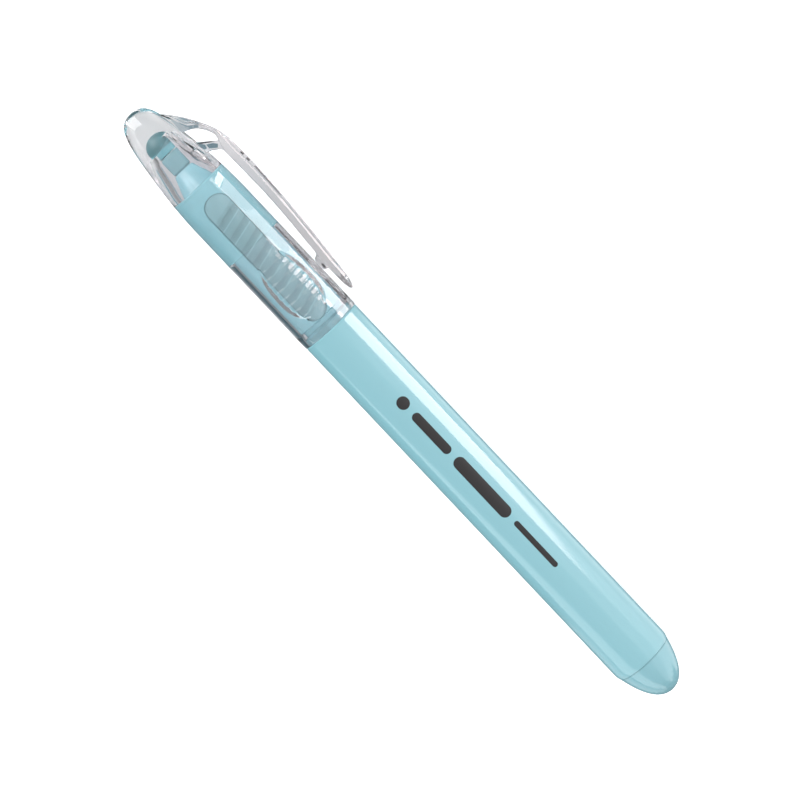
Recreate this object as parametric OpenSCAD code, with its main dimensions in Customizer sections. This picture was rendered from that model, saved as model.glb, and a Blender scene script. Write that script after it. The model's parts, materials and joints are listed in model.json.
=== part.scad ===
// Pen-style highlighter: a clear push-on cap with a pocket clip, a grip section with two ribbed
// pads, a barrel with a pressed-in tail plug, and the nib, collar, reservoir and film inside.
// It lies on a table, on the cap and the clip's edge. The origin is on the pen's axis, where the
// cap's rim meets the barrel's shoulder. +X runs along the axis toward the tail and +Z is up.
// Shapes are drawn in the pen's own frame, with the clip at +Y and the pads at +Z and -Z, and
// lying() rolls them about the axis. Outlines are lists of [x, radius] or [x, y] points.

/* [Overall] */
// Length of the pen with its cap on
pen_len = 138; // [134:0.5:142]
// Length of the cap from its closed end to its rim
cap_len = 51; // [50.5:0.1:51.5]
// Outer diameter of the cap
cap_d = 11.7; // [11.6:0.1:11.9]
// Outer diameter of the barrel
barrel_d = 11.5; // [11.2:0.1:11.5]
// Outer diameter of the grip section under the cap
grip_d = 9.5; // [9.4:0.05:9.6]

/* [Clip] */
// Width of the clip, across the side view
clip_w = 3.6; // [3:0.1:4.2]
// Height of the clip's outer face over the pen's axis
clip_out = 9.87; // [9.8:0.01:9.95]

/* [Ink parts] */
// Diameter of the nib's rounded head
nib_d = 3.66; // [3.5:0.02:3.7]
// Diameter of the nib's shank
shank_d = 2.4; // [2.2:0.1:2.4]
// Diameter of the fibre reservoir
reservoir_d = 6.7; // [6.5:0.1:6.7]
// Wall of the film around the reservoir
film_t = 0.06; // [0.05:0.01:0.08]

/* [Ribs] */
// Spacing of the slanted ribs on each grip pad
pad_rib_pitch = 2.9; // [2.8:0.1:3.1]
// Spacing of the fine ribs in each finger recess of the cap
thumb_rib_pitch = 1.48; // [1.44:0.02:1.5]

/* [Hidden] */
$fn = 64;

cap_r = cap_d / 2;
barrel_r = barrel_d / 2;
grip_r = grip_d / 2;
nib_r = nib_d / 2;
shank_r = shank_d / 2;
film_r = reservoir_d / 2 + film_t;
tail_x = pen_len - cap_len;
eps = 0.02; // assembly gap between pieces that are pressed together
far = 20; // larger than any radius of the pen

// Walls and bores
running_fit = 0.08; // radial clearance of the cap on the grip section
rear_bore_r = grip_r + 0.15;
rim_bore_r = 5.12;
ring_r = 5.05; // stop ring of the grip section, inside the cap's rim
barrel_bore_r = 4.3;
section_bore_r = 3.55;
collar_seat_r = 1.6;

// Stations along the axis, as distances behind the cap's closed end
nib_front = 5.6;
collar_front = 9.75;
nose_front = 13.35;
shoulder = 17.3; // where the nose meets the full width of the grip section
land_end = 31.2; // where the cap's close-fitting land ends
ring_front = 49.5;
groove_front = 48.3; // groove in front of the stop ring
clip_root = 16; // where the clip's arm leaves its bracket
reservoir_front = 21.5;

// The table touches the cap and the lower edge of the clip, which gives the roll
roll = asin(cap_r / norm([clip_out, clip_w / 2])) - atan2(clip_w / 2, clip_out);

function at(d) = d - cap_len;

function bezier(a, b, c, d, steps = 10) = [
    for (i = [0:steps])
        let (t = i / steps)
        pow(1 - t, 3) * a + 3 * t * pow(1 - t, 2) * b + 3 * t * t * (1 - t) * c + t * t * t * d
];

function shifted(points) = [for (p = points) [at(p[0]), p[1]]];

module lying() {
    rotate([-roll, 0, 0]) children();
}

// A solid of revolution about the pen's axis from an outline of [x, radius] points
module turned(points) {
    rotate([0, 90, 0]) rotate_extrude() polygon([for (p = points) [p[1], p[0]]]);
}

// A ring about the axis between two radii, from x0 to x1
module ring(x0, x1, inner, outer) {
    turned([[x0, inner], [x0, outer], [x1, outer], [x1, inner]]);
}

// A flat outline in the side view, as thick as width across it
module plate(points, width) {
    translate([0, 0, -width / 2]) linear_extrude(width) polygon(points);
}

// What lies on the upper side of the pen only, or on the lower side with side = -1
module half(side = 1) {
    intersection() {
        children();
        translate([-far * 5, -far, side > 0 ? 0 : -far]) cube([far * 10, far * 2, far]);
    }
}

// ---- Barrel and tail ----
barrel_end = tail_x - 7.5; // seam between the barrel and its tail plug
barrel_end_r = 5.53;
end_round = 1.2; // length of the barrel's rounded end
shoulder_edge = 0.25; // the barrel's front edge is broken by this much along it and by edge_drop
edge_drop = 0.1;
barrel_curve = bezier(
    [barrel_end - end_round, barrel_r], [barrel_end - 0.7, barrel_r],
    [barrel_end - 0.3, 5.63], [barrel_end, barrel_end_r], 4
);
rib_t = 0.8;
rib_front = 9;

module barrel() {
    color("#a5dbe7") lying() {
        difference() {
            turned(concat(
                [[0, 0], [0, barrel_r - edge_drop], [shoulder_edge, barrel_r]],
                barrel_curve, [[barrel_end, 0]]
            ));
            difference() {
                ring(-1, barrel_end + 1, 0, barrel_bore_r);
                for (turn = [0:90:270]) rotate([turn, 0, 0]) centring_rib();
            }
        }
    }
}

// Rib inside the barrel that centres the reservoir
module centring_rib() {
    length = plug_front - rib_front - 1;
    translate([rib_front, film_r + 0.1, -rib_t / 2]) cube([length, far, rib_t]);
}

plug_len = 7.5; // how far the plug's spigot reaches into the barrel
plug_front = barrel_end - plug_len;
plug_bore_r = 3;
plug_edge_r = 5.5;
tail_curve = bezier(
    [barrel_end + 0.08, plug_edge_r], [barrel_end + 1.88, 5],
    [tail_x, 3.8], [tail_x, 0], 14
);

module tail_plug() {
    color("#9bd0dc") lying() difference() {
        turned(concat(
            [[plug_front, 0], [plug_front, barrel_bore_r - 0.3],
             [plug_front + 0.5, barrel_bore_r - eps],
             [barrel_end, barrel_bore_r - eps], [barrel_end + eps, plug_edge_r - 0.06]],
            tail_curve
        ));
        ring(plug_front - 1, barrel_end + 1, 0, plug_bore_r);
    }
}

// ---- Grip section ----
nose_r = 2.06;
nose_end_r = 3.5;
section_edge = 0.3;
spigot_len = 7;
groove_r = 4.25;

module front_section() {
    color("#9acfdb") lying() difference() {
        turned([
            [at(nose_front), 0], [at(nose_front), nose_r - 0.15], [at(nose_front + 0.15), nose_r],
            [at(shoulder - 0.1), nose_end_r], [at(shoulder), grip_r - section_edge],
            [at(shoulder + section_edge), grip_r], [at(groove_front), grip_r],
            [at(groove_front + 0.2), groove_r],
            [at(ring_front - 0.1), groove_r], [at(ring_front + 0.3), ring_r], [-eps, ring_r],
            [-eps, barrel_bore_r - eps], [spigot_len - 0.4, barrel_bore_r - eps],
            [spigot_len, barrel_bore_r - 0.3], [spigot_len, 0]
        ]);
        turned([
            [at(nose_front - 1), 0], [at(nose_front - 1), collar_seat_r], [at(19.6), collar_seat_r],
            [at(reservoir_front - 0.4), section_bore_r], [spigot_len + 1, section_bore_r],
            [spigot_len + 1, 0]
        ]);
        pad_space(pad_floor_r, pad_gap);
        mirror([0, 0, 1]) pad_space(pad_floor_r, pad_gap);
    }
}

// ---- Grip pads, set into both sides of the grip section ----
pad_front = 20;
pad_back = 48.3;
pad_half_w = 2.3;
pad_gap = 0.1;
pad_floor_r = 4.1;
pad_face_r = grip_r - 0.2;
pad_rib_r = grip_r - 0.03;
pad_rib_w = 1.3;
pad_rib_slant = 15;
pad_first_rib = 24.85;
pad_ribs = 8;

// The space of one pad from radius r outward, grown by gap all round
module pad_space(r, gap) {
    half() intersection() {
        ring(at(pad_front) - 1, at(pad_back) + 1, r, far / 2);
        linear_extrude(far) stadium(gap);
    }
}

module stadium(gap) {
    centres = [at(pad_front) + pad_half_w, at(pad_back) - pad_half_w];
    for (x = centres) translate([x, 0]) circle(pad_half_w + gap);
    translate([centres[0], -pad_half_w - gap])
        square([centres[1] - centres[0], 2 * (pad_half_w + gap)]);
}

module grip_pad() {
    intersection() {
        union() {
            ring(at(pad_front) - 1, at(pad_back) + 1, pad_floor_r + eps, pad_face_r);
            intersection() {
                ring(at(pad_front) + 1, at(pad_back) - 0.5, pad_floor_r + 0.2, pad_rib_r);
                linear_extrude(far) for (i = [0:pad_ribs - 1])
                    translate([at(pad_first_rib + i * pad_rib_pitch), 0])
                        rotate(pad_rib_slant)
                            square([pad_rib_w, far / 2], center = true);
            }
        }
        linear_extrude(far) stadium(0);
    }
}

module grip_pad_upper() {
    color("#8fc4d0") lying() grip_pad();
}

module grip_pad_lower() {
    color("#8fc4d0") lying() rotate([180, 0, 0]) grip_pad();
}

// ---- Nib, its collar and the ink store ----
collar_r = 1.9;
nib_play = 0.15; // gap behind the nib's head, in which it tilts
nib_nose = 2.3; // length of the nib's rounded end
nib_nose_steps = 8;
shank_back = 29;

module nib_collar() {
    color("#a3d3df") lying() difference() {
        turned([
            [at(collar_front), 0], [at(collar_front), collar_r - 0.12],
            [at(collar_front + 0.12), collar_r], [at(nose_front - 0.35), collar_r],
            [at(nose_front - 0.25), collar_r - 0.2], [at(nose_front - 0.1), collar_r - 0.2],
            [at(nose_front - 0.1), collar_seat_r - eps], [at(19), collar_seat_r - eps], [at(19), 0]
        ]);
        ring(at(collar_front) - 1, at(19) + 1, 0, shank_r + eps);
    }
}

module nib_shank() {
    color("#5f9ea5") lying() ring(at(collar_front) - 0.05, at(shank_back), 0, shank_r);
}

module nib_tip() {
    back = collar_front - nib_play;
    nose = [
        for (i = [0:nib_nose_steps])
            let (a = 90 * i / nib_nose_steps)
            [at(nib_front + nib_nose * (1 - cos(a))), nib_r * sin(a)]
    ];
    color("#5f9ea5") lying()
        turned(concat(nose, [[at(back - 0.1), nib_r], [at(back), nib_r - 0.1], [at(back), 0]]));
}

module ink_reservoir() {
    color("#8ccbd6") lying() difference() {
        ring(at(reservoir_front), plug_front - eps, 0, reservoir_d / 2);
        ring(at(reservoir_front) - 1, at(shank_back + 0.3), 0, shank_r + eps);
    }
}

module reservoir_film() {
    color("#e8eef0") lying()
        ring(at(reservoir_front), plug_front - eps, reservoir_d / 2, film_r);
}

// ---- Cap ----
rim_gap = 0.05;
rim_edge = 0.3; // the cap's rim is broken by this much along it and by edge_drop
pocket_r = 2.25; // blind pocket in the cap's solid end, around the nib's head
pocket_front = nib_front - 0.4;
pocket_back = 7.8;
recess_floor_r = cap_r - 0.4;
dome = bezier([0, 0], [0, 2.8], [2, 3.6], [6.5, 4.4], 12);
flank = bezier([6.5, 4.4], [9, 4.78], [16, cap_r], [23, cap_r], 10);
cavity = bezier([pocket_back, pocket_r], [10.2, 2.7], [13.2, 3.3], [15.6, 3.9], 6);
flare = bezier([15.6, 3.9], [16.4, 4.1], [16.9, 4.5], [shoulder, grip_r + running_fit], 4);

module cap_outside() {
    turned(concat(
        shifted(dome), [for (i = [1:10]) shifted(flank)[i]],
        [[-rim_gap - rim_edge, cap_r], [-rim_gap, cap_r - edge_drop], [-rim_gap, 0]]
    ));
}

module cap_inside() {
    turned(concat(
        [[at(pocket_front), 0], [at(pocket_front), pocket_r - 0.7],
         [at(pocket_front + 0.7), pocket_r]],
        shifted(cavity), [for (i = [1:4]) shifted(flare)[i]],
        [[at(land_end), grip_r + running_fit], [at(land_end + 0.3), rear_bore_r],
         [at(groove_front), rear_bore_r], [at(groove_front + 0.3), rim_bore_r], [1, rim_bore_r],
         [1, 0]]
    ));
}

// Finger recess, an oval that is fuller than an ellipse, with fine ribs across it
oval_x = 41.8;
oval_front = 8.3;
oval_back = 5.9;
oval_half_w = 3.9;
oval_power = 2.4;
oval_steps = 40;
thumb_ribs = 8;
first_thumb_rib = 35.25;
thumb_rib_r = 0.55;

function squared(c) = sign(c) * pow(abs(c), 2 / oval_power);

function oval(inset) = [
    for (i = [0:oval_steps - 1])
        let (a = 360 * i / oval_steps, c = squared(cos(a)), s = squared(sin(a)))
        [at(oval_x) + c * ((c < 0 ? oval_front : oval_back) - inset), s * (oval_half_w - inset)]
];

module finger_recess() {
    half() intersection() {
        ring(at(oval_x - oval_front) - 1, at(oval_x + oval_back) + 1, recess_floor_r, far / 2);
        linear_extrude(far) polygon(oval(0));
    }
}

module finger_ribs() {
    half() intersection() {
        rotate([0, 90, 0]) rotate_extrude() for (i = [0:thumb_ribs - 1])
            translate([cap_r - 0.12 - thumb_rib_r, at(first_thumb_rib + i * thumb_rib_pitch)])
                circle(thumb_rib_r);
        linear_extrude(far) polygon(oval(0.3));
    }
}

// Bracket that carries the clip: a beam from the dome and a brace down to the cap's body
bracket_w = clip_w;
bracket_outline = concat(
    [[at(3), 2.6]], [[at(3.2), 3.5]], [[at(5.2), 5]],
    shifted(bezier([7.3, 6.6], [9.5, 8.1], [12.2, 9.55], [clip_root, 9.8], 8)),
    shifted([[clip_root, 7.52], [15.5, 7.45], [14.4, 6.2], [13.9, 5.4], [14, 4.3], [9, 3]])
);
window_outline = shifted([
    [9, 5.3], [9.3, 6.2], [10.1, 7], [12.1, 8.2], [13.2, 8.55], [14, 8.6], [14.3, 8.2],
    [12.9, 6.5], [11.6, 5], [10.6, 4.75], [9.6, 4.8]
]);

module cap_shell() {
    color("#dfe6ea", 0.35) lying() difference() {
        union() {
            difference() {
                cap_outside();
                finger_recess();
                mirror([0, 0, 1]) finger_recess();
            }
            finger_ribs();
            mirror([0, 0, 1]) finger_ribs();
            plate(bracket_outline, bracket_w);
        }
        cap_inside();
        plate(window_outline, bracket_w + 1);
    }
}

// ---- Clip arm ----
split = 0.02; // gap between the arm and its bracket
roof_half_w = 1.5;
arm_outer = bezier([clip_root + split, 9.8], [24, 10.05], [33, 9.55], [46, 8.3], 14);
arm_tip = bezier([46, 8.3], [47.8, 8.05], [48.6, 7.75], [48.6, 7.35], 5);
arm_under = shifted([
    [48.35, 7], [47, 6.8], [43.5, 6.75], [43.1, 6.5], [42.9, 6], [42.6, 5.92], [40.9, 5.92],
    [40.6, 6], [40.2, 6.75], [39.6, 7], [37.5, 7.07], [33.3, 7.4], [29, 7.6], [25, 7.68],
    [18, 7.58], [clip_root + split, 7.52]
]);

module pocket_clip() {
    color("#dfe6ea", 0.35) lying() intersection() {
        plate(
            concat(shifted(arm_outer), [for (i = [1:5]) shifted(arm_tip)[i]], arm_under), clip_w
        );
        clip_roof();
    }
}

// Cross-section of the arm, full width below and narrower toward its outer face
module clip_roof() {
    low = 5;
    edge = 8.9;
    top = 11;
    slope = (clip_w / 2 - roof_half_w) / (clip_out - edge);
    top_half_w = clip_w / 2 - slope * (top - edge);
    translate([at(clip_root) - 1, 0, 0]) rotate([90, 0, 90]) linear_extrude(35) polygon([
        [low, -clip_w / 2], [edge, -clip_w / 2], [top, -top_half_w],
        [top, top_half_w], [edge, clip_w / 2], [low, clip_w / 2]
    ]);
}

barrel();
front_section();
grip_pad_upper();
grip_pad_lower();
nib_collar();
nib_shank();
nib_tip();
ink_reservoir();
reservoir_film();
tail_plug();
cap_shell();
pocket_clip();
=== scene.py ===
import json
import math

import bmesh
import bpy
import numpy as np
from mathutils import Matrix, Vector


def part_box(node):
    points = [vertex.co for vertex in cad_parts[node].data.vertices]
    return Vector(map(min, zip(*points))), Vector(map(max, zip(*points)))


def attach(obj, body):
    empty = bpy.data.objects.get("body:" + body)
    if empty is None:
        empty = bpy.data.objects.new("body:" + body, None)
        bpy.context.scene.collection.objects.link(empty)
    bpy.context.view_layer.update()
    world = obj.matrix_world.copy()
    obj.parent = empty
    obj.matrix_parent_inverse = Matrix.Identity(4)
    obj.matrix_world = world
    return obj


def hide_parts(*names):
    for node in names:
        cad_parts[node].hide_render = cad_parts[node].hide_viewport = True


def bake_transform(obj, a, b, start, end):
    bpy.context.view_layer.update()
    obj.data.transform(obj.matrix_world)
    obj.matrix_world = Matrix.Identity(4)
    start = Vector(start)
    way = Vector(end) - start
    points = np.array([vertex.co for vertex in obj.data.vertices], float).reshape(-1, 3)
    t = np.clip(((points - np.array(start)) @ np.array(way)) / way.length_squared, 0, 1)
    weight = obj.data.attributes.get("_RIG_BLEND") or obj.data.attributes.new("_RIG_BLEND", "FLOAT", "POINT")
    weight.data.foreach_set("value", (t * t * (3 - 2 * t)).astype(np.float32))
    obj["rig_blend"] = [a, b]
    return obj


# A capped highlighter. The clear cap with its clip is one smooth moulding made here, and four plain
# bars are printed on the barrel. The other pieces are the CAD's own, with new materials.
# Lengths are in mm, unless a comment says metres. A station is a distance along the pen behind the
# cap's closed end, and at() turns it into an x of the frame.

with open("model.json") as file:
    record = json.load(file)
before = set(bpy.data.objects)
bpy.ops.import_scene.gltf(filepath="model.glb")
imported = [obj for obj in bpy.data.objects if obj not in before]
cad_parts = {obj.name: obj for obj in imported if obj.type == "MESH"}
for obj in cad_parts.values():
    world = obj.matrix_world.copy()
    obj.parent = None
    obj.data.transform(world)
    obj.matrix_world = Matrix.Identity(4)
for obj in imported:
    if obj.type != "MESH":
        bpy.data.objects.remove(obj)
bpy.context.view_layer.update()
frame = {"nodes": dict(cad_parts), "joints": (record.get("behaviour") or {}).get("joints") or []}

# ---- The pen's own axes and sizes, from the frame ----
MM = 0.001  # a millimetre, in metres
CLIP_JOINT = next(j for j in frame["joints"] if j["name"] == "clip_flex")
ALONG = Vector((1, 0, 0))  # toward the tail
FACE = Vector(CLIP_JOINT["axis"]).normalized()  # toward the upper grip pad
CLIP = FACE.cross(ALONG).normalized()  # from the axis toward the clip
CAP_LEN = -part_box("cap_shell")[0].x / MM
CAP_R = -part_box("cap_shell")[0].z / MM
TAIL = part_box("tail_plug")[1].x / MM
BARREL_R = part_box("barrel")[1].z / MM
BARREL_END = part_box("barrel")[1].x / MM
NIB_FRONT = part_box("nib_tip")[0].x / MM + CAP_LEN
NIB_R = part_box("nib_tip")[1].z / MM
# Sizes of the CAD that its boxes don't give
GRIP_R = 4.75  # the grip section, apart from its stop ring
CLIP_W = 3.6  # the widest part of the clip


def at(station):
    """The x in the frame of a station."""
    return station - CAP_LEN


def pen(x, y, z):
    """A point in metres, from mm along the axis, toward the clip and toward the face."""
    return (ALONG * x + CLIP * y + FACE * z) * MM


# ---- Node helpers: a value or a colour is a number, a tuple or another node's output ----
def new_material(name):
    """A material with an empty node tree, and that tree's output node."""
    m = bpy.data.materials.new(name)
    m.use_nodes = True
    nt = m.node_tree
    nt.nodes.clear()
    return m, nt, nt.nodes.new("ShaderNodeOutputMaterial")


def noise(nt, scale, detail=3.0, stretch=(1, 1, 1)):
    """Noise from 0 to 1 that is fixed to the object, finer as the scale goes up."""
    co = nt.nodes.new("ShaderNodeTexCoord")
    mp = nt.nodes.new("ShaderNodeMapping")
    mp.inputs["Scale"].default_value = stretch
    nz = nt.nodes.new("ShaderNodeTexNoise")
    nz.inputs["Scale"].default_value = scale
    nz.inputs["Detail"].default_value = detail
    nt.links.new(co.outputs["Object"], mp.inputs["Vector"])
    nt.links.new(mp.outputs["Vector"], nz.inputs["Vector"])
    return nz.outputs["Fac"]


def calc(nt, operation, *values):
    """A maths node."""
    node = nt.nodes.new("ShaderNodeMath")
    node.operation = operation
    for socket, value in zip(node.inputs, values):
        if isinstance(value, (int, float)):
            socket.default_value = value
        else:
            nt.links.new(value, socket)
    return node.outputs["Value"]


def remap(nt, value, source=(0, 1), target=(0, 1), smooth=False):
    """A value carried from one range to another, and held at its ends."""
    node = nt.nodes.new("ShaderNodeMapRange")
    if smooth:
        node.interpolation_type = "SMOOTHSTEP"
    node.inputs["From Min"].default_value, node.inputs["From Max"].default_value = source
    node.inputs["To Min"].default_value, node.inputs["To Max"].default_value = target
    nt.links.new(value, node.inputs["Value"])
    return node.outputs["Result"]


def mixed(nt, fac, a, b):
    """Colour a where the factor is 0, and colour b where it is 1."""
    mix = nt.nodes.new("ShaderNodeMix")
    mix.data_type = "RGBA"
    for socket, colour in (("A", a), ("B", b)):
        if isinstance(colour, tuple):
            mix.inputs[socket].default_value = (*colour, 1)
        else:
            nt.links.new(colour, mix.inputs[socket])
    nt.links.new(fac, mix.inputs["Factor"])
    return mix.outputs["Result"]


def bump(nt, fac, strength):
    """A normal that follows a height of 0.1 mm."""
    b = nt.nodes.new("ShaderNodeBump")
    b.inputs["Strength"].default_value = strength
    b.inputs["Distance"].default_value = 0.1 * MM
    nt.links.new(fac, b.inputs["Height"])
    return b.outputs["Normal"]


def distance_along(nt, axis):
    """How far a point of the object is along an axis, in metres."""
    co = nt.nodes.new("ShaderNodeTexCoord")
    dot = nt.nodes.new("ShaderNodeVectorMath")
    dot.operation = "DOT_PRODUCT"
    dot.inputs[1].default_value = axis
    nt.links.new(co.outputs["Object"], dot.inputs[0])
    return dot.outputs["Value"]


def past(nt, axis, start, end):
    """0 at the start and 1 at the end, both mm along an axis, easing between them."""
    return remap(nt, distance_along(nt, axis), (start * MM, end * MM), smooth=True)


def scaled(colour, level):
    return tuple(c * level for c in colour)


# ---- Materials ----
def moulded(name, colour, rough=0.12, grain=0.02, shade=None):
    """Glossy coloured moulding: a slight colour flow along the pen, and a faint waviness in its gloss.
    A shade is a level that the colour is multiplied by, the x where it holds and the x where it ends."""
    m, nt, out = new_material(name)
    p = nt.nodes.new("ShaderNodeBsdfPrincipled")
    p.inputs["IOR"].default_value = 1.5
    flow = noise(nt, 60, 2, (0.3, 1, 1))
    tone = mixed(nt, flow, scaled(colour, 1 - grain), scaled(colour, 1 + grain))
    if shade:
        level, holds, ends = shade
        tone = mixed(nt, past(nt, ALONG, holds, ends), scaled(colour, level), tone)
    nt.links.new(tone, p.inputs["Base Color"])
    gloss = remap(nt, noise(nt, 900), target=(rough * 0.8, rough * 1.2))
    nt.links.new(gloss, p.inputs["Roughness"])
    nt.links.new(bump(nt, noise(nt, 260, 2, (0.4, 1, 1)), 0.04), p.inputs["Normal"])
    nt.links.new(p.outputs["BSDF"], out.inputs["Surface"])
    return m


PAD_SLANT = 15  # degrees
PAD_PITCH, PAD_FIRST_RIB, PAD_RIBS = 2.9, 24.85, 8
# One pitch of the pad's ribs: how far through it, and the level of the colour there, which paints shade in
# the dark bands and a highlight at the pale edge
PAD_PAINTED_LIGHT = [(0, 1), (0.22, 0.97), (0.27, 0.8), (0.45, 0.84), (0.66, 0.92), (0.72, 1.3), (0.78, 1.0)]


def ribbed_pad(name, colour):
    """Satin pad with painted shade and painted highlights: under the clear cap its slanted ribs are painted
    as darker bands, each with a pale painted highlight on its edge.
    """
    m, nt, out = new_material(name)
    p = nt.nodes.new("ShaderNodeBsdfPrincipled")
    slant = math.radians(PAD_SLANT)
    across = distance_along(nt, ALONG * math.cos(slant) + CLIP * math.sin(slant))
    pitch = PAD_PITCH * math.cos(slant) * MM
    first = at(PAD_FIRST_RIB) * math.cos(slant) * MM
    count = calc(nt, "MULTIPLY_ADD", across, 1 / pitch, 0.5 - first / pitch)
    # this ramp paints each rib's shade and its highlight across one pitch
    ramp = nt.nodes.new("ShaderNodeValToRGB")
    stops = ramp.color_ramp.elements
    while len(stops) < len(PAD_PAINTED_LIGHT):
        stops.new(0.5)
    for stop, (place, level) in zip(stops, PAD_PAINTED_LIGHT):
        stop.position = place
        stop.color = (*scaled(colour, level), 1)
    nt.links.new(calc(nt, "FRACT", count), ramp.inputs["Fac"])
    begun = calc(nt, "GREATER_THAN", count, 0)
    ribbed = calc(nt, "MULTIPLY", calc(nt, "LESS_THAN", count, PAD_RIBS), begun)
    plain = mixed(nt, noise(nt, 120, 2), scaled(colour, 1.08), scaled(colour, 1.12))
    nt.links.new(mixed(nt, ribbed, plain, ramp.outputs["Color"]), p.inputs["Base Color"])
    nt.links.new(remap(nt, noise(nt, 900), target=(0.3, 0.42)), p.inputs["Roughness"])
    nt.links.new(p.outputs["BSDF"], out.inputs["Surface"])
    return m


# Tints of the clear plastic, which stand for how thick it is
BODY_TINTS = (0.85, 0.835, 0.85), (0.87, 0.855, 0.87)
DOME_TINT = (0.92, 0.905, 0.91)
CLIP_TINT = (0.817, 0.798, 0.8075)


def clear_plastic():
    """Clear moulding. Lamps shine through it, so what it covers is lit."""
    m, nt, out = new_material("clear_plastic")
    p = nt.nodes.new("ShaderNodeBsdfPrincipled")
    p.inputs["IOR"].default_value = 1.49
    p.inputs["Transmission Weight"].default_value = 1
    tint = mixed(nt, noise(nt, 80, 2), *BODY_TINTS)
    tint = mixed(nt, past(nt, ALONG, at(6), at(11)), DOME_TINT, tint)
    tint = mixed(nt, past(nt, CLIP, CAP_R + 0.9, CAP_R - 0.2), CLIP_TINT, tint)
    nt.links.new(tint, p.inputs["Base Color"])
    nt.links.new(remap(nt, noise(nt, 700), target=(0.01, 0.03)), p.inputs["Roughness"])
    nt.links.new(bump(nt, noise(nt, 300, 2), 0.03), p.inputs["Normal"])
    see_through = nt.nodes.new("ShaderNodeBsdfTransparent")
    see_through.inputs["Color"].default_value = (0.96, 0.97, 0.98, 1)
    path = nt.nodes.new("ShaderNodeLightPath")
    mix = nt.nodes.new("ShaderNodeMixShader")
    nt.links.new(path.outputs["Is Shadow Ray"], mix.inputs["Fac"])
    nt.links.new(p.outputs["BSDF"], mix.inputs[1])
    nt.links.new(see_through.outputs["BSDF"], mix.inputs[2])
    nt.links.new(mix.outputs["Shader"], out.inputs["Surface"])
    return m


RIM_PAINTED_SHADE = (0.75, at(49.4), at(49.1))  # painted shade in the groove at the stop ring, in the cap's rim
NECK_SHADE = (2.2, at(8.6), at(8.2))  # the nib is paler behind its head
SEAM_SHADE = (0.75, BARREL_END + 0.1, BARREL_END + 0.35)  # where the tail plug meets the barrel
mats = {
    "barrel": moulded("barrel_plastic", (0.31, 0.61, 0.68)),
    "section": moulded("section_plastic", (0.267, 0.515, 0.575), shade=RIM_PAINTED_SHADE),
    "pad": ribbed_pad("pad_plastic", (0.22, 0.38, 0.415)),
    "collar": moulded("collar_plastic", (0.2, 0.37, 0.405)),
    "nib": moulded("nib_plastic", (0.05, 0.15, 0.172), rough=0.45, shade=NECK_SHADE),
    "plug": moulded("plug_plastic", (0.29, 0.575, 0.645), rough=0.14, shade=SEAM_SHADE),
    "print": moulded("print_ink", (0.016, 0.014, 0.015), rough=0.35, grain=0.3),
    "fibre": moulded("fibre", (0.3, 0.6, 0.7), rough=0.8),
    "film": moulded("film", (0.85, 0.88, 0.9), rough=0.3),
    "clear": clear_plastic(),
}


# ---- Mesh and curve helpers ----
def mesh_object(name, points, faces, material):
    """A smooth-shaded object from points (x, y, z) as pen() takes them."""
    me = bpy.data.meshes.new(name)
    me.from_pydata([pen(*p) for p in points], [], faces)
    me.materials.append(material)
    for f in me.polygons:
        f.use_smooth = True
    me.update()
    ob = bpy.data.objects.new(name, me)
    bpy.context.scene.collection.objects.link(ob)
    return ob


def turned(name, outline, sides, material, shape):
    """A turned solid from an outline of (station, radius) that starts and ends on the axis.
    shape(station, radius, angle) moves each point. Angle 0 is the face, and 90 degrees the clip."""
    points, faces, rings = [], [], []
    for station, radius in outline:
        if radius < 1e-6:
            rings.append([len(points)])
            points.append((at(station), 0, 0))
            continue
        ring = []
        for k in range(sides):
            angle = 2 * math.pi * k / sides
            s, r = shape(station, radius, angle)
            ring.append(len(points))
            points.append((at(s), r * math.sin(angle), r * math.cos(angle)))
        rings.append(ring)
    for a, b in zip(rings, rings[1:]):
        for k in range(sides):
            k2 = (k + 1) % sides
            if len(a) == 1:
                faces.append((a[0], b[k2], b[k]))
            elif len(b) == 1:
                faces.append((a[k], a[k2], b[0]))
            else:
                faces.append((a[k], a[k2], b[k2], b[k]))
    return mesh_object(name, points, faces, material)


def loft(name, sections):
    """A closed clear solid through sections, each a list of the same number of points."""
    points = [p for s in sections for p in s]
    n = len(sections[0])
    last = len(sections) - 1
    faces = [
        (i * n + k, i * n + (k + 1) % n, (i + 1) * n + (k + 1) % n, (i + 1) * n + k)
        for i in range(last)
        for k in range(n)
    ]
    faces += [tuple(range(n)), tuple(range(last * n, (last + 1) * n))]
    return mesh_object(name, points, faces, mats["clear"])


def outward(ob):
    """Turn every face of a closed solid outward."""
    bm = bmesh.new()
    bm.from_mesh(ob.data)
    bmesh.ops.recalc_face_normals(bm, faces=bm.faces)
    bm.to_mesh(ob.data)
    bm.free()
    ob.data.update()


def fused(base, others):
    """One solid from several that overlap."""
    for ob in [*others, base]:
        outward(ob)
    for ob in others:
        m = base.modifiers.new("join", "BOOLEAN")
        m.operation = "UNION"
        m.solver = "MANIFOLD"
        m.object = ob
    dg = bpy.context.evaluated_depsgraph_get()
    me = bpy.data.meshes.new_from_object(base.evaluated_get(dg), depsgraph=dg)
    base.modifiers.clear()
    base.data = me
    for ob in others:
        bpy.data.objects.remove(ob)
    return base


def bezier(a, b, c, d, steps):
    """Points along a cubic curve from a to d."""
    out = []
    for i in range(steps + 1):
        t = i / steps
        w = ((1 - t) ** 3, 3 * t * (1 - t) ** 2, 3 * t * t * (1 - t), t**3)
        out.append(tuple(sum(wi * p[k] for wi, p in zip(w, (a, b, c, d))) for k in (0, 1)))
    return out


def stations(start, end, step):
    """Even stations from start to end, about a step apart."""
    n = max(1, round((end - start) / step))
    return [start + (end - start) * i / n for i in range(n + 1)]


def smooth_step(v):
    v = min(1.0, max(0.0, v))
    return v * v * (3 - 2 * v)


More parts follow.
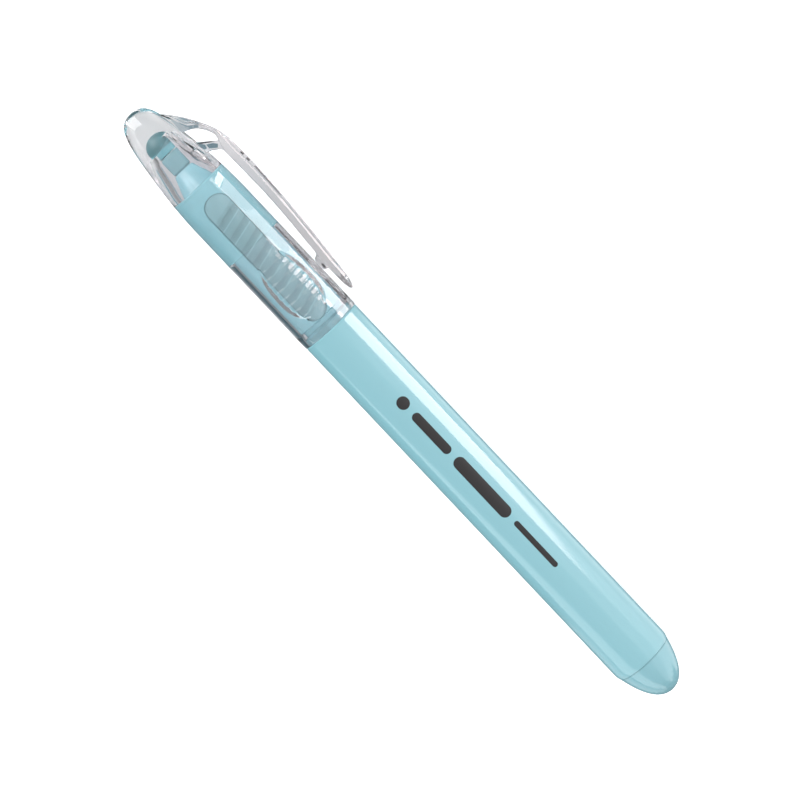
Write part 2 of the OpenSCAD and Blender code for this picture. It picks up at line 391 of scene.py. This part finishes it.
# ---- The cap's shell ----
# Oval finger recess: its middle's station, its reach each way, its half height and its squareness
OVAL_AT, OVAL_FRONT, OVAL_BACK, OVAL_HALF, OVAL_POWER = 41.8, 8.3, 5.9, 3.9, 2.4
RECESS_DEPTH, RECESS_CROWN = 0.2, 0.05  # mm, and mm per mm squared off the middle line
CROWN_REACH = 2.8  # how far off the middle line the floor keeps falling
RECESS_WALL = 0.14  # width of the wall, as a share of the oval
RIB_PITCH, FIRST_RIB, RIBS, RIB_HEIGHT = 1.48, 35.25, 8, 0.14
RIB_FLANK = 0.3  # how soon a rib reaches its height, as a share of the pitch

CONTACT = 0.03  # how far the clear plastic reaches into the nib's head, so that they touch
GRIP_CONTACT = 0.25  # and into the grip section
NIB_NOSE = 2.3  # length of the nib's rounded end
GAP_R, RIM_BORE_R, RIM = 4.9, 5.12, 50.95  # bore over the pads, bore at the rim, and the rim's station
POCKET_LEAN = 0.34  # slope of the nib pocket's mouth
MOUTH_FRONT, MOUTH_BACK = 6.6, 10.5  # the stations between which it leans


def recessed(station, radius, angle):
    """The cap's outer skin, sunk in an oval on each face, with rounded ribs across the floor."""
    if radius < CAP_R - 0.3:
        return radius
    off = station - OVAL_AT
    if not -OVAL_FRONT <= off <= OVAL_BACK:
        return radius
    height = abs(radius * math.sin(angle))
    q = (abs(off) / (OVAL_FRONT if off < 0 else OVAL_BACK)) ** OVAL_POWER
    q = (q + (height / OVAL_HALF) ** OVAL_POWER) ** (1 / OVAL_POWER)
    if q >= 1:
        return radius
    floor = RECESS_DEPTH + RECESS_CROWN * min(height, CROWN_REACH) ** 2
    depth = floor * smooth_step((1 - q) / RECESS_WALL)
    rib = (station - FIRST_RIB) / RIB_PITCH
    if -0.5 < rib < RIBS - 0.5:
        crest = smooth_step((0.5 - abs(rib - round(rib))) / RIB_FLANK)
        before_wall = smooth_step((0.94 - q) / 0.1)
        depth -= RIB_HEIGHT * crest * before_wall
    return radius - depth


def cap_skin(station, radius, angle):
    """The recesses outside. Inside, the pocket's mouth leans toward the cap's end on the clip's side."""
    lean = 0
    if radius < 3.9:
        lean = smooth_step(station - MOUTH_FRONT) * smooth_step((MOUTH_BACK - station) / 2.4)
    moved = station - POCKET_LEAN * lean * radius * math.sin(angle)
    return moved, recessed(station, radius, angle)


def cap_outside():
    """The cap's outer outline, from its closed end to its rim, with more points at the recess."""
    outline = bezier((0, 0), (0, 2.8), (2, 3.6), (6.5, 4.4), 36)
    outline += bezier((6.5, 4.4), (9, 4.78), (16, CAP_R), (23, CAP_R), 50)[1:]
    straight = stations(23.5, 34.1, 0.5) + stations(34.2, 48.7, 0.1) + [49.2, 50, 50.65]
    outline += [(s, CAP_R) for s in straight]
    return outline + [(50.8, CAP_R - 0.02), (50.9, CAP_R - 0.06), (RIM, CAP_R - 0.14)]


def cap_inside():
    """The cap's inner outline: the nib's pocket, the gap round the nose, the grip and the rim."""
    nib, grip = NIB_R - CONTACT, GRIP_R - GRIP_CONTACT
    outline = [
        (NIB_FRONT + CONTACT + NIB_NOSE * (1 - math.cos(t)), nib * math.sin(t))
        for t in np.linspace(0, math.pi / 2, 12)
    ]
    outline += [(7.95, nib), (8.0, NIB_R), (8.05, 2.2)]
    outline += bezier((8.07, 2.25), (10.2, 2.7), (13.2, 3.3), (15.6, 3.9), 16)
    outline += bezier((15.6, 3.9), (16.2, 4.02), (16.8, 4.12), (17.4, 4.3), 6)[1:]
    outline += [(17.5, grip - 0.05), (17.6, grip)]
    outline += [(s, grip) for s in stations(18, 31.1, 1)]
    outline += [(31.2, grip), (31.25, GAP_R - 0.02), (31.3, GAP_R)]
    outline += [(s, GAP_R) for s in stations(32, 47.8, 1)]
    outline += bezier((47.9, GAP_R), (48.7, GAP_R), (49.0, RIM_BORE_R), (49.8, RIM_BORE_R), 10)
    return outline + [(RIM, RIM_BORE_R)]


def cap_shell():
    return turned("cap", cap_outside() + cap_inside()[::-1], 288, mats["clear"], cap_skin)


# ---- The clip, with its beam, brace and bump ----
CHAMFER = 0.2
# The beam's under side, as (station, distance from the axis)
BEAM_UNDER = [
    (0, 2.4), (8.2, 3.9), (8.7, 4.6), (9.0, 5.4), (9.4, 6.15), (10.1, 7.0), (11.1, 7.65),
    (12.1, 8.15), (13.2, 8.3), (14.0, 8.05), (14.8, 7.7), (15.8, 7.5), (18, 7.58),
    (25, 7.68), (29, 7.6), (33.3, 7.4), (37.5, 7.07), (39.6, 6.98), (40.2, 6.8),
    (43.5, 6.76), (47, 6.8), (48.2, 7.0), (48.6, 7.3),
]
# The brace between the beam and the cap, in the side view
BRACE = [
    (14.2, 8.4), (12.9, 6.75), (11.7, 5.2), (10.9, 4.2), (13.9, 4.5), (14.4, 6.0), (15.2, 7.1),
    (16.4, 7.9),
]


def beam_outer():
    """The beam's outer side, from the cap's closed end to the clip's tip."""
    outline = bezier((2.9, 3.1), (5.5, 5.6), (7, 6.6), (9.25, 7.8), 10)
    outline += bezier((9.25, 7.8), (11.2, 8.8), (13, 9.75), (16.5, 9.8), 12)[1:]
    outline += bezier((16.5, 9.8), (24, 10.05), (33, 9.55), (46, 8.3), 40)[1:]
    return outline + bezier((46, 8.3), (47.8, 8.05), (48.6, 7.75), (48.6, 7.35), 10)[1:-1]


def rounded_section(low, high, half_low, half_high, edge):
    """The beam's cross-section as (y, z): round corners, and narrower past a chamfer at the edge."""
    r = min(0.35, (high - low) * 0.3)
    inset = CHAMFER * 0.7
    corners = [  # (y, z, and the angle where a round corner starts)
        (low, -half_low, 180), (edge, -half_low, None), (edge + CHAMFER, -half_low + inset, None),
        (high, -half_high, 270), (high, half_high, 0),
        (edge + CHAMFER, half_low - inset, None), (edge, half_low, None), (low, half_low, 90),
    ]
    points = []
    for y, z, start in corners:
        if start is None:
            points.append((y, z))
            continue
        cy = y + (r if start in (180, 90) else -r)
        cz = z + (r if z < 0 else -r)
        for i in range(5):
            a = math.radians(start + 90 * i / 4)
            points.append((cy + r * math.cos(a), cz + r * math.sin(a)))
    return points


def clip_beam():
    """The beam, narrower at its root and again toward the clip's tip."""
    under_at, under = zip(*BEAM_UNDER)
    sections = []
    for station, high in beam_outer():
        low = float(np.interp(station, under_at, under))
        edge = low + (high - low) * 0.55
        half = CLIP_W / 2 * (0.72 + 0.28 * smooth_step((station - 3) / 7))
        half *= 1 - 0.35 * smooth_step((station - 45.5) / 3.1)
        ring = rounded_section(low, high, half, half * 0.84, edge)
        sections.append([(at(station), y, z) for y, z in ring])
    return loft("clip_beam", sections)


def side_plate(name, profile, width, edge):
    """A plate with the side view's outline, drawn in by up to edge toward its two sides."""
    layers, flat = 8, 0.6  # flat is the share of the width that isn't drawn in
    mean_reach = 2.2  # about how far the outline is from its middle
    cx = sum(p[0] for p in profile) / len(profile)
    cy = sum(p[1] for p in profile) / len(profile)
    sections = []
    for k in range(layers + 1):
        t = 2 * k / layers - 1
        beyond = max(0.0, abs(t) - flat) / (1 - flat)
        scale = 1 - edge * (1 - math.sqrt(max(0.0, 1 - beyond**2))) / mean_reach
        sections.append(
            [(at(cx + (s - cx) * scale), cy + (y - cy) * scale, t * width / 2) for s, y in profile]
        )
    return loft(name, sections)


def clip_brace():
    return side_plate("clip_brace", BRACE, CLIP_W * 0.92, 0.3)


def clip_bump():
    """The bump that grips a pocket."""
    profile = bezier((39.6, 7.3), (40.4, 7.0), (40.3, 5.95), (40.9, 5.92), 8)
    profile += bezier((42.6, 5.92), (43.2, 5.95), (43.0, 6.7), (43.8, 7.3), 8)
    return side_plate("clip_bump", profile, CLIP_W * 0.8, 0.2)


cap = fused(cap_shell(), [clip_beam(), clip_brace(), clip_bump()])
for f in cap.data.polygons:
    f.use_smooth = True
cap.data.set_sharp_from_angle(angle=math.radians(32))
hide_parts("cap_shell", "pocket_clip")
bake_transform(cap, "cap", "clip", start=pen(at(15.5), 9, 0), end=pen(at(22), 9, 0))


def bend_only_the_arm():
    """The cap's body stays with the cap: only what lies outside it, past the bracket, bends."""
    weights = cap.data.attributes["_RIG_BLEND"].data
    for v, w in zip(cap.data.vertices, weights):
        y, z = v.co.dot(CLIP) / MM, v.co.dot(FACE) / MM
        if math.hypot(y, z) < CAP_R + 0.02:
            w.value = 0


bend_only_the_arm()


# ---- CAD nodes that keep their shape, and their materials ----
def dress(node, material):
    ob = frame["nodes"][node]
    ob.data.materials.clear()
    ob.data.materials.append(mats[material])
    for f in ob.data.polygons:
        f.use_smooth = True
    ob.data.set_sharp_from_angle(angle=math.radians(30))


dress("barrel", "barrel")
dress("front_section", "section")
dress("grip_pad_upper", "pad")
dress("grip_pad_lower", "pad")
dress("nib_collar", "collar")
dress("nib_shank", "nib")
dress("nib_tip", "nib")
dress("ink_reservoir", "fibre")
dress("reservoir_film", "film")
dress("tail_plug", "plug")


# ---- Plain printed bars on the barrel ----
INK_SUNK, INK_PROUD = 0.05, 0.012  # how far the ink goes into the barrel and stands off it
INK_LEAST = 0.04  # half the height of a bar at its very ends, so that no face closes up


def printed_bar(name, x0, x1, height):
    """A thin patch of ink with round ends that follows the barrel, centred on its face."""
    half, rows, end_steps = height / 2, 6, 10
    ends = [half * (1 - math.cos(math.pi / 2 * k / end_steps)) for k in range(end_steps + 1)]
    columns = [x0 + e for e in ends] + [x1 - e for e in ends[::-1]]
    points, n = [], rows + 1
    for r in (BARREL_R - INK_SUNK, BARREL_R + INK_PROUD):
        for x in columns:
            off = max(0.0, half - min(x - x0, x1 - x))
            reach = max(INK_LEAST, math.sqrt(half * half - off * off))
            for j in range(n):
                a = reach * (2 * j / rows - 1) / BARREL_R
                points.append((x, r * math.sin(a), r * math.cos(a)))
    skin = len(columns) * n
    faces = []
    for i in range(len(columns) - 1):
        for j in range(rows):
            quad = (i * n + j, (i + 1) * n + j, (i + 1) * n + j + 1, i * n + j + 1)
            faces += [quad, tuple(v + skin for v in quad[::-1])]
    rim = [i * n for i in range(len(columns))]
    rim += [skin - n + j for j in range(1, n)]
    rim += [i * n + rows for i in range(len(columns) - 2, -1, -1)]
    rim += [j for j in range(rows - 1, 0, -1)]
    faces += [(u, v, v + skin, u + skin) for u, v in zip(rim, rim[1:] + rim[:1])]
    ob = mesh_object(name, points, faces, mats["print"])
    outward(ob)
    ob.data.set_sharp_from_angle(angle=math.radians(40))
    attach(ob, "barrel")


printed_bar("mark_dot", 16.6, 19.0, 2.3)
printed_bar("mark_short", 20.4, 29.6, 1.7)
printed_bar("mark_long", 31.0, 44.6, 2.3)
printed_bar("mark_thin", 46.0, 56.6, 1.0)


# ---- Camera ----
def aim(ob, target, up):
    """Turn a camera or lamp toward a point."""
    back = (ob.location - target).normalized()
    right = up.cross(back).normalized()
    turn = Matrix((right, back.cross(right), back)).transposed().to_4x4()
    ob.matrix_world = Matrix.Translation(ob.location) @ turn


def make_camera():
    """Square to the pen, above the front of the cap, with the pen brought into the frame by shift."""
    turn = math.radians(46.68)  # how steeply the pen crosses the frame
    up = CLIP * math.cos(turn) - ALONG * math.sin(turn)
    distance, width = 600, 139.73  # to the pen's axis, and across the frame there
    x = -48
    end = (0.163, 0.1424)  # where the cap's closed end is, as shares of the frame from its top left
    run = (x + CAP_LEN) / width
    data = bpy.data.cameras.new("camera")
    data.sensor_width = 36
    data.lens = data.sensor_width * distance / width
    data.shift_x = 0.5 - end[0] - run * math.cos(turn)
    data.shift_y = end[1] + run * math.sin(turn) - 0.5
    data.clip_start, data.clip_end = 0.01, 20  # metres
    cam = bpy.data.objects.new("camera", data)
    bpy.context.scene.collection.objects.link(cam)
    cam.location = pen(x, 0, distance)
    aim(cam, pen(x, 0, 0), up)
    bpy.context.scene.camera = cam


# ---- Floor ----
FLOOR_SIZE = 12  # metres each way from the origin
FLOOR_PAINTED_LIT, FLOOR_PAINTED_DARK = 9.5, 30  # how far beside the pen the painted light holds, and where the floor is painted dark
FLOOR_PAINTED_NEAR = 0.88  # the painted light's level beside the pen, where the clear plastic shows it
FLOOR_GLOW = 0.6  # how brightly it glows where the camera sees it; elsewhere it doesn't glow


def make_floor():
    """Pale paper with a painted pool of light round the pen: what the clear plastic bends toward the
    distance is painted darker.
    """
    m, nt, out = new_material("floor_paper")
    p = nt.nodes.new("ShaderNodeBsdfPrincipled")
    p.inputs["Roughness"].default_value = 0.9
    p.inputs["Specular IOR Level"].default_value = 0
    p.inputs["Emission Color"].default_value = (1, 0.99, 1, 1)
    seen = nt.nodes.new("ShaderNodeLightPath").outputs["Is Camera Ray"]
    aside = calc(nt, "ABSOLUTE", distance_along(nt, (0, 1, 0)))
    # painted light beside the pen and painted shade further off, for every ray but the camera's
    painted_pool = remap(nt, aside, (FLOOR_PAINTED_DARK * MM, FLOOR_PAINTED_LIT * MM), (0, FLOOR_PAINTED_NEAR), smooth=True)
    painted_level = calc(nt, "MAXIMUM", painted_pool, seen)
    glow = calc(nt, "MULTIPLY", remap(nt, seen, target=(0, FLOOR_GLOW)), painted_level)
    nt.links.new(glow, p.inputs["Emission Strength"])
    paper = mixed(nt, noise(nt, 40), (0.90, 0.90, 0.90), (0.92, 0.92, 0.92))
    nt.links.new(mixed(nt, painted_level, (0.35, 0.35, 0.36), paper), p.inputs["Base Color"])
    nt.links.new(p.outputs["BSDF"], out.inputs["Surface"])
    me = bpy.data.meshes.new("floor")
    sides = ((-1, -1), (1, -1), (1, 1), (-1, 1))
    corners = [(FLOOR_SIZE * x, FLOOR_SIZE * y, -CAP_R * MM) for x, y in sides]
    me.from_pydata(corners, [], [(0, 1, 2, 3)])
    me.materials.append(m)
    ob = bpy.data.objects.new("floor", me)
    bpy.context.scene.collection.objects.link(ob)
    ob.visible_glossy = False
    ob.visible_shadow = False


# ---- Light ----
WORLD_LOW, WORLD_HIGH = 0.2, 0.9  # how bright the room is low down and overhead
WORLD_RISE = (0.05, 0.65)  # the heights between which it brightens, where 1 is straight up
SEEN_WHITE = 1.2  # how bright it is where the camera sees it
WHITE, WARM, COOL = (1, 1, 1), (1.06, 0.93, 0.91), (0.6, 1, 1.05)
CARD_AWAY = 350  # from the axis to the cards
FAR = 1500  # an end of a card that is out of sight
NEAR_SIDE = (51, 97)  # angles round the pen, from the face toward the clip
LAMP_AWAY, LAMP_SIZE = 0.6, (0.5, 0.2)  # metres

# Painted shade and painted reflections: glowing patches just above the floor, seen only through the clear
# plastic, where the black and grey ones paint shade at its edges and the teal ones paint reflections of the
# pen in it. Each has an outline of (station, distance toward the clip) and a colour.
BLACK, COAL, GREY, ASH = (0.04, 0.045, 0.05), (0.1, 0.1, 0.11), (0.2, 0.19, 0.2), (0.33, 0.33, 0.34)
DEEP_TEAL, TEAL, SOFT_TEAL = (0.04, 0.11, 0.14), (0.15, 0.26, 0.31), (0.2, 0.42, 0.5)
MIST = (0.42, 0.5, 0.54)
PAINTED_PATCHES = [
    ([(29, -24), (53, -24), (53, -8), (29, -8)], DEEP_TEAL),
    ([(7, -13), (17, -13), (17, -9), (7, -9)], SOFT_TEAL),
    ([(7.5, 11), (14, 11), (14, 13.5), (7.5, 13.5)], BLACK),
    ([(9.3, 4.9), (12.0, 4.9), (13.4, 7.0), (12.9, 7.8), (11.1, 7.2), (9.6, 5.9)], BLACK),
    ([(13.0, 5.95), (13.9, 5.9), (14.8, 7.1), (14.3, 7.6), (13.6, 7.0)], TEAL),
    ([(11.9, 4.6), (13.2, 4.6), (13.6, 5.6), (12.9, 5.85), (12.3, 5.4)], TEAL),
    ([(6.8, 5.2), (7.6, 5.1), (9.0, 5.9), (9.9, 6.8), (9.6, 7.2), (8.2, 6.1)], TEAL),
    ([(4.4, 3.9), (5.6, 4.2), (7.0, 5.7), (6.6, 6.1), (5.2, 4.9)], TEAL),
    ([(5.8, 4.4), (8.4, 4.3), (9.0, 5.8), (10.0, 7.1), (9.4, 7.6), (7.2, 6.4)], MIST),
    ([(18.0, 8.9), (18.7, 8.9), (18.7, 9.5), (18.0, 9.5)], BLACK),
    ([(19.5, 8.9), (20.2, 8.9), (20.2, 9.5), (19.5, 9.5)], BLACK),
    ([(21.5, 9.05), (31, 8.85), (31, 9.15), (21.5, 9.4)], GREY),
    ([(31.3, 9.2), (40.5, 9.2), (40.5, 13), (31.3, 13)], GREY),
    ([(44.5, 9.2), (51, 9.2), (51, 13), (44.5, 13)], GREY),
    ([(46.5, 6.95), (48.2, 7.1), (48.6, 7.5), (47.4, 8.1), (44.0, 8.25), (45.2, 7.8)], ASH),
    ([(42.0, 6.3), (42.9, 6.15), (43.2, 6.4), (42.9, 6.6), (42.2, 6.6)], COAL),
]
PAINTED_PATCH_LIFT = 0.3  # above the floor


def card(name, corners, strength, colour=WHITE):
    """A glowing card that shows in reflections and through the clear plastic, and nowhere else."""
    m, nt, out = new_material(name)
    e = nt.nodes.new("ShaderNodeEmission")
    e.inputs["Color"].default_value = (*colour, 1)
    e.inputs["Strength"].default_value = strength
    nt.links.new(e.outputs["Emission"], out.inputs["Surface"])
    me = bpy.data.meshes.new(name)
    me.from_pydata([pen(*c) for c in corners], [], [tuple(range(len(corners)))])
    me.materials.append(m)
    ob = bpy.data.objects.new(name, me)
    bpy.context.scene.collection.objects.link(ob)
    ob.visible_camera = False
    ob.visible_diffuse = False
    ob.visible_shadow = False
    return ob


def band(name, angles, starts, ends, strength, colour=WHITE):
    """A card along the pen, between two angles round it. Each edge has its own start and end x."""
    corners = []
    for angle, xs in zip(angles, zip(starts, ends)):
        a = math.radians(angle)
        edge = [(x, CARD_AWAY * math.sin(a), CARD_AWAY * math.cos(a)) for x in xs]
        corners += edge if not corners else edge[::-1]
    card(name, corners, strength, colour)


def painted_patch(name, outline, colour):
    """A glowing patch just above the floor by the pen, seen only through the clear plastic, where it paints
    shade, or a reflection when it is teal.
    """
    height = PAINTED_PATCH_LIFT - CAP_R
    corners = [(at(s), y, (height - CLIP.z * y) / FACE.z) for s, y in outline]
    card(name, corners, 1, colour).visible_glossy = False


def soft_box():
    """A card in front of the cap's closed end, which gives it its highlight."""
    shares = [(-0.977, 0.05, -0.209), (-0.60, 0.1, 0.78), (-0.55, -0.70, 0.42), (-0.72, -0.42, -0.56)]
    corners = [(CARD_AWAY * x - CAP_LEN, CARD_AWAY * y, CARD_AWAY * z) for x, y, z in shares]
    card("soft_box", corners, 7)


def lamp(name, angle, watts, colour=WHITE):
    """A soft lamp square to the pen's middle, at an angle round it from the face toward the clip."""
    data = bpy.data.lights.new(name, "AREA")
    data.shape = "RECTANGLE"
    data.size, data.size_y = LAMP_SIZE
    data.energy = watts
    data.color = colour
    ob = bpy.data.objects.new(name, data)
    bpy.context.scene.collection.objects.link(ob)
    middle = pen((TAIL - CAP_LEN) / 2, 0, 0)
    a = math.radians(angle)
    ob.location = middle + (FACE * math.cos(a) + CLIP * math.sin(a)) * LAMP_AWAY
    aim(ob, middle, ALONG)
    ob.visible_glossy = False
    ob.visible_transmission = False
    ob.visible_camera = False


def make_world():
    """White where the camera looks past the pen; elsewhere bright overhead and dark low down."""
    world = bpy.data.worlds.new("studio")
    bpy.context.scene.world = world
    world.use_nodes = True
    nt = world.node_tree
    nt.nodes.clear()
    out = nt.nodes.new("ShaderNodeOutputWorld")
    co = nt.nodes.new("ShaderNodeTexCoord")
    split = nt.nodes.new("ShaderNodeSeparateXYZ")
    nt.links.new(co.outputs["Generated"], split.inputs["Vector"])
    height = remap(nt, split.outputs["Z"], WORLD_RISE, (WORLD_LOW, WORLD_HIGH), smooth=True)
    plain = nt.nodes.new("ShaderNodeBackground")
    plain.inputs["Color"].default_value = (1, 0.99, 1, 1)
    nt.links.new(height, plain.inputs["Strength"])
    seen = nt.nodes.new("ShaderNodeBackground")
    seen.inputs["Color"].default_value = (1, 0.99, 1, 1)
    seen.inputs["Strength"].default_value = SEEN_WHITE
    path = nt.nodes.new("ShaderNodeLightPath")
    mix = nt.nodes.new("ShaderNodeMixShader")
    nt.links.new(path.outputs["Is Camera Ray"], mix.inputs["Fac"])
    nt.links.new(plain.outputs["Background"], mix.inputs[1])
    nt.links.new(seen.outputs["Background"], mix.inputs[2])
    nt.links.new(mix.outputs["Shader"], out.inputs["Surface"])


def make_lights():
    """Cards for the highlights along the pen, patches of painted shade and painted reflection for the clear
    plastic, and two soft lamps.
    """
    band("strip_card", NEAR_SIDE, (2.7, 2.7), (121, 91), 11, WARM)
    band("strip_middle_card", NEAR_SIDE, (-14, -11), (2.6, 2.6), 7.5, WARM)
    band("strip_dim_card", NEAR_SIDE, (-44, -44), (-14.1, -11.1), 5.3, WARM)
    band("strip_spot_card", NEAR_SIDE, (-57, -54), (-46, -44.1), 14)
    band("edge_card", (98, 140), (28, 28), (400, 400), 2)
    band("low_card", (-56, -97), (150, 20), (FAR, FAR), 3)
    band("low_edge_card", (-103, -140), (130, 130), (FAR, FAR), 1.3)
    # patches of painted shade and painted reflection, seen through the clear plastic
    for i, (outline, colour) in enumerate(PAINTED_PATCHES):
        painted_patch(f"flag_{i}", outline, colour)
    band("soft_card", (12, 50.5), (30, 30), (FAR, FAR), 1.8)
    band("tail_card", NEAR_SIDE, (124, 94), (FAR, FAR), 2.7)
    soft_box()
    lamp("clip_side", 60, 1.8)
    lamp("low_side", -90, 0.9, COOL)


make_world()
make_floor()
make_lights()
make_camera()
scene = bpy.context.scene
scene.view_settings.view_transform = "Standard"
scene.cycles.max_bounces = 16
scene.cycles.transmission_bounces = 14
scene.cycles.glossy_bounces = 6
scene.cycles.transparent_max_bounces = 16
